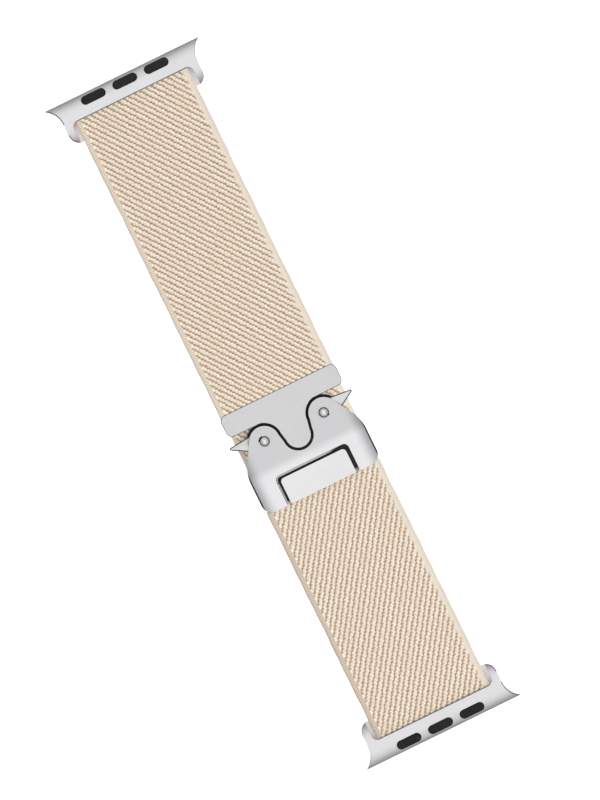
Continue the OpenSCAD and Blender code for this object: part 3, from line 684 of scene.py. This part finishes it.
def strip(name, rows, material):
    """A closed strip, extruded row by row; each row gives the four corners of its section."""
    deselect()
    bpy.ops.mesh.primitive_plane_add(size=1.0, calc_uvs=False)
    piece = bpy.context.object
    piece.name = name
    for index, corner in zip(piece.data.polygons[0].vertices, rows[0]):
        piece.data.vertices[index].co = corner
    bpy.ops.object.mode_set(mode="EDIT")
    bpy.ops.mesh.select_mode(type="FACE")
    bpy.ops.mesh.select_all(action="SELECT")
    for before, after in zip(rows, rows[1:]):
        bpy.ops.mesh.extrude_region_move()
        mesh = bmesh.from_edit_mesh(piece.data)
        for vertex in mesh.verts:
            if vertex.select:
                gaps = [math.dist(vertex.co, corner) for corner in before]
                vertex.co = after[gaps.index(min(gaps))]
        bmesh.update_edit_mesh(piece.data)
    bpy.ops.mesh.select_all(action="SELECT")
    bpy.ops.mesh.normals_make_consistent(inside=False)
    bpy.ops.object.mode_set(mode="OBJECT")
    bpy.ops.object.shade_smooth_by_angle(angle=math.radians(30))
    piece.data.materials.append(material)
    return piece


# Webbing


def smooth(value, low, high):
    t = np.clip((value - low) / (high - low), 0, 1)
    return t * t * (3 - 2 * t)


def weave_height(x, s, lean, pitch):
    """Height of the twill itself, at a place across and along it in millimetres."""
    drift = [np.sin(ax * x + ay * s + start) for ax, ay, start in DRIFT_WAVES]
    rows = (s + FLOAT_DRIFT * (drift[2] + drift[3])) / pitch
    ribs = (x + FLOAT_DRIFT * (drift[0] + drift[1])) / RIB_PERIOD + lean * rows / FLOAT_ROWS
    total = np.zeros_like(x)
    for per_rib, per_row, size, phase, twist in TWILL_WAVES:
        start = math.radians(phase + lean * twist)
        turns = per_rib * ribs + lean * per_row * rows
        total = total + size * np.cos(2 * math.pi * turns + start)
    return 0.5 + 0.5 * total / WAVE_REACH


def webbing_height(x, s, lean, pitch):
    """The twill group's height: the woven body, the heads of its ribs and its selvedges."""
    from_left = x + HALF_WIDTH
    from_right = HALF_WIDTH - x + RIGHT_WANDER * np.sin(RIGHT_WANDER_TURN * s)
    past_left = smooth(from_left, *LEFT_FADE)
    past_right = smooth(from_right, *RIGHT_FADE)
    body = weave_height(x, s, lean, pitch) * past_left * past_right
    phase = (HEAD_PLACE - HALF_WIDTH) / RIB_PERIOD + lean * s / (FLOAT_ROWS * pitch)
    phase = phase - np.floor(phase + 0.5)
    head_x = (from_left - HEAD_PLACE) / HEAD_WIDTH
    head_y = phase * FLOAT_ROWS * pitch / HEAD_LENGTH
    head = np.sqrt(np.maximum(1 - head_x**2 - head_y**2, 0))
    cords = CORD_LOW + CORD_RISE * np.abs(np.sin(s * math.pi / CORD_PITCH))
    edges = cords * (1 - past_left) + PLAIN_HEIGHT * (1 - past_right)
    return np.maximum(body, head) + edges


def resample(points, step):
    """Points a step apart along a polyline in Y and Z, with the distance run to each."""
    points = np.array(points)
    runs = np.concatenate([[0], np.cumsum(np.hypot(*np.diff(points, axis=0).T))])
    count = max(2, int(round(runs[-1] / step)))
    at = np.linspace(0, runs[-1], count + 1)
    return np.column_stack([np.interp(at, runs, points[:, k]) for k in (0, 1)]), at


def length_of(points):
    return np.sum(np.hypot(*np.diff(np.array(points), axis=0).T))


def arc_points(centre, radius, start, end, count=16):
    turns = np.radians(np.linspace(start, end, count + 1))
    return [(centre[0] + radius * math.cos(a), centre[1] + radius * math.sin(a)) for a in turns]


def ribbon(name, face_line, half_at, along_at, lean, pitch, step, inward):
    """A woven ribbon. face_line is its outer face seen from the side, in Y and Z; inward says on
    which side of that line the ribbon lies; half_at and along_at give its half-width and the
    weave's own length at a distance along the line."""
    line, run = resample(face_line, step)
    tangent = np.gradient(line, axis=0)
    tangent /= np.linalg.norm(tangent, axis=1)[:, None]
    normal = inward * np.column_stack([-tangent[:, 1], tangent[:, 0]])
    full = HALF_WIDTH * MM
    outer = np.linspace(-1, 1, int(round(2 * full / step)) + 1)
    inner = np.linspace(1, -1, INNER_POINTS + 2)[1:-1]
    verts, uvs = [], []
    for point, away, distance in zip(line, normal, run):
        half, s = half_at(distance), along_at(distance)
        wobble = sum(size * math.sin(s / length + start) for size, length, start in EDGE_WOBBLE)
        reach = half + wobble * (half / full)
        x_out = outer * reach
        near = np.clip((np.abs(x_out) - (reach - EDGE_ROUND)) / EDGE_ROUND, 0, 1)
        flat = np.sqrt(np.maximum(1 - near**2, 0))
        height = webbing_height(x_out / MM, np.full_like(x_out, s / MM), lean, pitch)
        depth_out = (1 - flat) * LAYER / 2 + (1 - height) * RELIEF * MM * flat
        x_in = inner * (reach - 0.02 * MM)
        near = np.clip((np.abs(x_in) - (reach - 2 * EDGE_ROUND)) / (2 * EDGE_ROUND), 0, 1)
        depth_in = LAYER - 0.01 * MM - near**2 * LAYER * 0.3
        xs = np.concatenate([x_out, x_in])
        depth = np.concatenate([depth_out, depth_in])
        verts.append(np.column_stack([xs, point[0] + away[0] * depth, point[1] + away[1] * depth]))
        uvs.append(np.column_stack([xs / MM, np.full_like(xs, s / MM)]))
    width, rows = len(outer) + len(inner), len(run)
    base = (np.arange(rows - 1) * width)[:, None]
    here = np.arange(width)[None, :]
    beside = (here + 1) % width
    faces = [base + here, base + beside, base + width + beside, base + width + here]
    faces = np.stack(faces if inward < 0 else faces[::-1], axis=2).reshape(-1, 4)
    caps = [list(range(width)), list(range((rows - 1) * width, rows * width))]
    mesh = bpy.data.meshes.new(name)
    mesh.from_pydata(np.concatenate(verts).tolist(), [], faces.tolist() + caps)
    layer = mesh.uv_layers.new(name="weave")
    corner = np.zeros(len(mesh.loops), dtype=np.int32)
    mesh.loops.foreach_get("vertex_index", corner)
    layer.data.foreach_set("uv", np.concatenate(uvs)[corner].ravel())
    mesh.update()
    piece = bpy.data.objects.new(name, mesh)
    bpy.context.scene.collection.objects.link(piece)
    pick(piece)
    bpy.ops.object.mode_set(mode="EDIT")
    bpy.ops.mesh.select_all(action="SELECT")
    bpy.ops.mesh.normals_make_consistent(inside=False)
    bpy.ops.object.mode_set(mode="OBJECT")
    bpy.ops.object.shade_smooth_by_angle(angle=math.radians(60))
    return piece


def loop_lines(side):
    """Outer face of the webbing round the strap bar: front half, then back half, from the clasp
    side to the loop's watch side. side is 1 for the upper strap and -1 for the lower one."""
    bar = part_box("upper_strap_bar" if side > 0 else "lower_strap_bar")
    bar_y = side * (bar[0][1] + bar[1][1]) / 2
    bar_z = (bar[0][2] + bar[1][2]) / 2
    bar_r = (bar[1][2] - bar[0][2]) / 2
    radius = bar_r + BAR_CLEAR + LAYER
    reach = math.hypot(LOOP_RUN, LAYER)
    lean = math.degrees(math.atan2(LAYER, -LOOP_RUN) - math.acos(radius / reach))
    far = bar_y - LOOP_RUN
    front = [(far, bar_z + LAYER)] + arc_points((bar_y, bar_z), radius, lean, 0)
    back = arc_points((bar_y, bar_z), radius, 0, -lean) + [(far, bar_z - LAYER)]
    return [(side * y, z) for y, z in front], [(side * y, z) for y, z in back]


def build_upper_webbing(material):
    """The front layer ends under the hook's bar; the back one runs on as the comfort tongue."""
    bar_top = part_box("hook_plate")[1][1]
    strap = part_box("upper_strap")
    half, tongue_end = strap[1][0], strap[0][1]
    split, ramp = bar_top + SPLIT_RUN, bar_top + RAMP_GAP
    front_loop, back_loop = loop_lines(1)
    face = [(HOOK_END, STRAP_Z0 + 2 * LAYER)] + front_loop
    under = back_loop + [(split, STRAP_Z0), (ramp, 0.0), (tongue_end, 0.0)]
    length = length_of(under)

    def tongue_width(run):
        left = length - run
        wide = half if left > ramp - tongue_end else half - TONGUE_INSET
        if left >= TONGUE_CORNER:
            return wide
        return wide - TONGUE_CORNER + math.sqrt(TONGUE_CORNER**2 - (TONGUE_CORNER - left) ** 2)

    front = ribbon("upper_webbing_front", face, lambda run: half, lambda run: run + HOOK_END,
                   lean=1.0, pitch=UPPER_ROWS, step=FRONT_STEP, inward=-1)
    back = ribbon("upper_webbing_back", under, tongue_width, lambda run: -run,
                  lean=1.0, pitch=UPPER_ROWS, step=BACK_STEP, inward=-1)
    for piece in (front, back):
        piece.data.materials.append(material)
        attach(piece, "hook")
        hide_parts("upper_strap")


def build_lower_webbing(material):
    """Both layers narrow to the neck that the clamp lever holds."""
    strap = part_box("lower_strap")
    half, neck_end = strap[1][0], strap[1][1]
    neck = neck_end - (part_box("front_cover")[0][1] + NECK_SHOULDER)
    front_loop, back_loop = loop_lines(-1)
    face = [(neck_end, STRAP_Z0 + 2 * LAYER)] + front_loop
    under = back_loop + [(neck_end, STRAP_Z0)]
    length = length_of(under)

    def width_at(from_end):
        return NECK_HALF if from_end < neck else half

    front = ribbon("lower_webbing_front", face, width_at, lambda run: neck_end - run,
                   lean=-1.0, pitch=LOWER_ROWS, step=FRONT_STEP, inward=1)
    back = ribbon("lower_webbing_back", under, lambda run: width_at(length - run),
                  lambda run: run, lean=-1.0, pitch=LOWER_ROWS, step=BACK_STEP, inward=1)
    for piece in (front, back):
        piece.data.materials.append(material)
        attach(piece, "housing")
        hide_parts("lower_strap")


# Clasp


def build_rim(material, cover_top):
    """The cut-out's turned-in rim, a narrow sloping strip along its left and top sides."""
    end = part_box("front_cover")[0][1]
    left, top, radius = -RIM_X, RIM_Y, RIM_CORNER
    line = [(left, end + 0.3 * MM, 1.0), (left, end + 2.5 * MM, 1.0)]
    for x, y in arc_points((left + radius, top - radius), radius, 180, 90, 8):
        line.append((x, y, 1.0))
    taper_start, taper_end, taper = RIM_TAPER
    for share in np.arange(1, 11) / 10:
        width = 1.0 - smooth(share, taper_start, taper_end) * taper
        line.append((left + radius + share * 2 * (RIM_X - radius), top, width))
    rows = []
    for index, (x, y, width) in enumerate(line):
        before = line[max(index - 1, 0)]
        after = line[min(index + 1, len(line) - 1)]
        dx, dy = after[0] - before[0], after[1] - before[1]
        size = math.hypot(dx, dy)
        near, far = RIM_START, RIM_START + RIM_WIDTH * width
        inner, outer, foot = RIM_DROPS
        rows.append([
            (x + dy / size * step, y - dx / size * step, cover_top - drop)
            for step, drop in ((near, inner), (far, outer), (far, foot), (near, foot))
        ])
    piece = strip("cutout_rim", rows, material)
    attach(piece, "housing")
    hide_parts("front_cover")


def build_seam_shade(side, material):
    """A dark sheet round a lobe at the back plate's level, painted shade that shows as the dark
    seam under the bar.
    """
    low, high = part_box("back_plate")
    section = corners(*SEAM_SHADE_RADII, high[2] - SEAM_SHADE_INSET, low[2] + SEAM_SHADE_INSET)
    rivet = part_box(side + "_rivet")
    x, y = (rivet[0][0] + rivet[1][0]) / 2, (rivet[0][1] + rivet[1][1]) / 2
    rows = []
    for turn in np.radians(np.linspace(*SEAM_SHADE_TURNS, 41)):
        rows.append([(x + reach * math.cos(turn), y + reach * math.sin(turn), level)
                     for reach, level in section])
    piece = strip(side + "_seam_shade_sheet", rows, material)
    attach(piece, "housing")
    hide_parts("back_plate")


def build_rivet(side, metals, cover_top):
    """A polished dome, with painted shade at its foot."""
    dome = copied(side + "_rivet", side + "_rivet_dome")
    dome.data.materials.append(metals["rivet"])
    shade_faces(dome, metals["edge"], lambda centre, normal: centre.z < cover_top + 0.14 * MM)
    pick(dome)
    bpy.ops.object.shade_smooth_by_angle(angle=math.radians(40))
    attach(dome, "housing")
    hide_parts(side + "_rivet")


def build_clasp(metals):
    """The clasp's pieces, with the faces that lie in deep shade painted dark, and fine outlines of
    painted shade on their bevels.
    """
    cover_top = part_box("front_cover")[1][2]
    rivets = [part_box("left_rivet"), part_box("right_rivet")]

    def cover_outline(middle):
        for low, high in rivets:
            x, y = (low[0] + high[0]) / 2, (low[1] + high[1]) / 2
            if math.hypot(middle.x - x, middle.y - y) < 1.6 * MM:
                return 0.0
        if middle.z < cover_top - 1.7 * MM:
            return 0.0
        return 0.5 if middle.y > -10.0 * MM and abs(middle.x) < 7.0 * MM else 1.0

    def bar_outline(middle):
        if middle.z < cover_top - 0.02 * MM:
            return 0.0
        return 0.6 if middle.y < -2.0 * MM else 1.0

    def cover_shaded(centre, normal):
        slot_wall = abs(centre.x) < 7.5 * MM and centre.y > -10.0 * MM and abs(normal.z) < 0.3
        return normal.z < -0.5 or slot_wall

    def bar_shaded(centre, normal):
        under = centre.z < cover_top - 1.3 * MM
        step = normal.z > 0.5 and centre.z < cover_top - 0.4 * MM
        nose_wall = abs(normal.z) < 0.3 and centre.y < -1.5 * MM and abs(centre.x) < 10.5 * MM
        return under or step or nose_wall

    cover = dress("front_cover", "cover_shell", "housing",
                  metals["cover"], metals["edge"], width=0.18, wanted=cover_outline)
    shade_faces(cover, metals["inside"], cover_shaded)
    bar = dress("hook_plate", "hook_bar", "hook",
                metals["bar"], metals["edge"], width=0.16, wanted=bar_outline)
    shade_faces(bar, metals["inside"], bar_shaded)
    dress("clamp_lever", "lever_plate", "lever",
          metals["lever"], metals["edge"], width=0.10)
    pawls = []
    for side in ("left", "right"):
        pawl = dress(side + "_pawl", side + "_catch_pawl", side + "_catch",
                     metals["pawl"], metals["edge"], width=0.05)
        outline_top(pawl, width=0.17)
        pawls.append(pawl)
        build_rivet(side, metals, cover_top)
        build_seam_shade(side, metals["inside"])
        paint(side + "_pawl_spring", metals["spring"])
    back = dress("back_plate", "back_shell", "housing",
                 metals["back"], metals["edge"], width=0.06)
    build_rim(metals["rim"], cover_top)
    for node, metal in (("hook_clamp_plate", "bar"), ("lever_pin", "inside"),
                        ("cover_screws", "rivet"), ("hook_screws", "rivet")):
        paint(node, metals[metal])
    # As in the studio's even light, the clasp doesn't darken the webbing beside it
    for piece in (cover, bar, back, *pawls):
        piece.visible_diffuse = False
    for piece in (bar, *pawls):
        piece.visible_shadow = False


# Case connectors


def build_lip_line(end, side, reach, top, metal):
    """A line of painted shade along the edge of the connector's lip over the webbing."""
    lip = reach - LIP_DEPTH
    width, upper, lower = (size * MM for size in LIP_LINE)
    section = corners(lip, lip - width, top - upper, top - lower)
    rows = [[(x, side * y, z) for y, z in section] for x in np.linspace(-LIP_HALF, LIP_HALF, 3)]
    return strip(end + "_lip_line", rows, metal)


def build_flank_line(end, name, side, across, reach, top, metals):
    """A line of painted shade along the edge of a flank, from the leg over the barrel to the
    flared tip: dark on the one flank and lighter grey on the other.
    """
    flare_w, flare_d = FLARE
    radius = (flare_w**2 + flare_d**2) / (2 * flare_w)
    turn = math.degrees(math.acos((radius - flare_w) / radius))
    leg = arc_points((FLANK_X - LEG_ROUND, reach - LEG_DEPTH + LEG_ROUND), LEG_ROUND, -60, 0)
    flare = arc_points((FLANK_X + radius, reach - flare_d), radius, 180, 180 - turn * 0.94)
    barrel_start, leg_end = reach - BARREL_DEPTH, reach - LIP_DEPTH - 0.4 * MM
    # Painted shade: dark on the one flank, lighter grey on the other
    metal = "edge" if across == -side else "flank"
    section = corners(FLANK_LINE_INSET, FLANK_LINE[metal], FLANK_LINE_TOP, FLANK_LINE_FOOT)
    rows = []
    for x, y in leg + flare:
        level = top
        if y > barrel_start:
            past = (y - barrel_start) / BARREL_DEPTH
            level = top / 2 * (1 + math.sqrt(max(0.0, 1 - past**2)))
        elif y < leg_end:
            past = (leg_end - y) / LEG_RUN
            level = top * (LEG_TOP + (1 - LEG_TOP) * math.sqrt(max(0.0, 1 - past**2)))
        rows.append([(across * (x - inset * MM), side * y, level + lift * MM)
                     for inset, lift in section])
    return strip(f"{end}_{name}_flank_line", rows, metals[metal])


def build_connector_lines(end, metals):
    """The fine lines of painted shade that the photograph shows on a connector's lip and flanks.
    """
    low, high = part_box(end + "_connector")
    side = 1 if end == "upper" else -1
    reach, top = max(abs(low[1]), abs(high[1])), high[2]
    pieces = [build_lip_line(end, side, reach, top, metals["edge"])]
    for name, across in (("left", -1), ("right", 1)):
        pieces.append(build_flank_line(end, name, side, across, reach, top, metals))
    for piece in pieces:
        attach(piece, end + "_end")
        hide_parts(end + "_connector")


def build_connector(end, metals):
    shell = dress(end + "_connector", end + "_connector_shell", end + "_end",
                  metals["connector"], metals["connector"], width=0.15, segments=3)
    shell.visible_diffuse = False
    build_connector_lines(end, metals)
    for side in ("left", "right"):
        node = f"{end}_{side}_pad"
        dress(node, node + "_rubber", end + "_end",
              metals["rubber"], metals["rubber"], width=0.12, segments=3)
    dress(end + "_latch_button", end + "_latch_cap", end + "_latch",
          metals["rubber"], metals["rubber"], width=0.12, segments=3)
    paint(end + "_strap_bar", metals["spring"])
    paint(end + "_latch_spring", metals["spring"])
    paint(end + "_latch_plug", metals["connector"])


# The whole strap

place_camera()
build_studio()
build_floor()
twill = make_twill_group()
yarn = make_yarn_group()
grain = make_grain_group()
metals = {key: metal_material(grain=grain, **finish) for key, finish in METALS.items()}
metals["rubber"] = rubber_material("pad_rubber", grain)
build_clasp(metals)
for end in ("upper", "lower"):
    build_connector(end, metals)
# Each strap's gap colour is painted shade between its floats
build_upper_webbing(webbing_material(
    "upper_twill", lean=1.0, rows=UPPER_ROWS, gap=(0.255, 0.20, 0.14), cord_shade=0.97,
    twill=twill, yarn=yarn
))
# cord_shade is painted shade on the corded left edge, deeper on the lower strap
build_lower_webbing(webbing_material(
    "lower_twill", lean=-1.0, rows=LOWER_ROWS, gap=(0.30, 0.235, 0.175), cord_shade=0.78,
    twill=twill, yarn=yarn
))
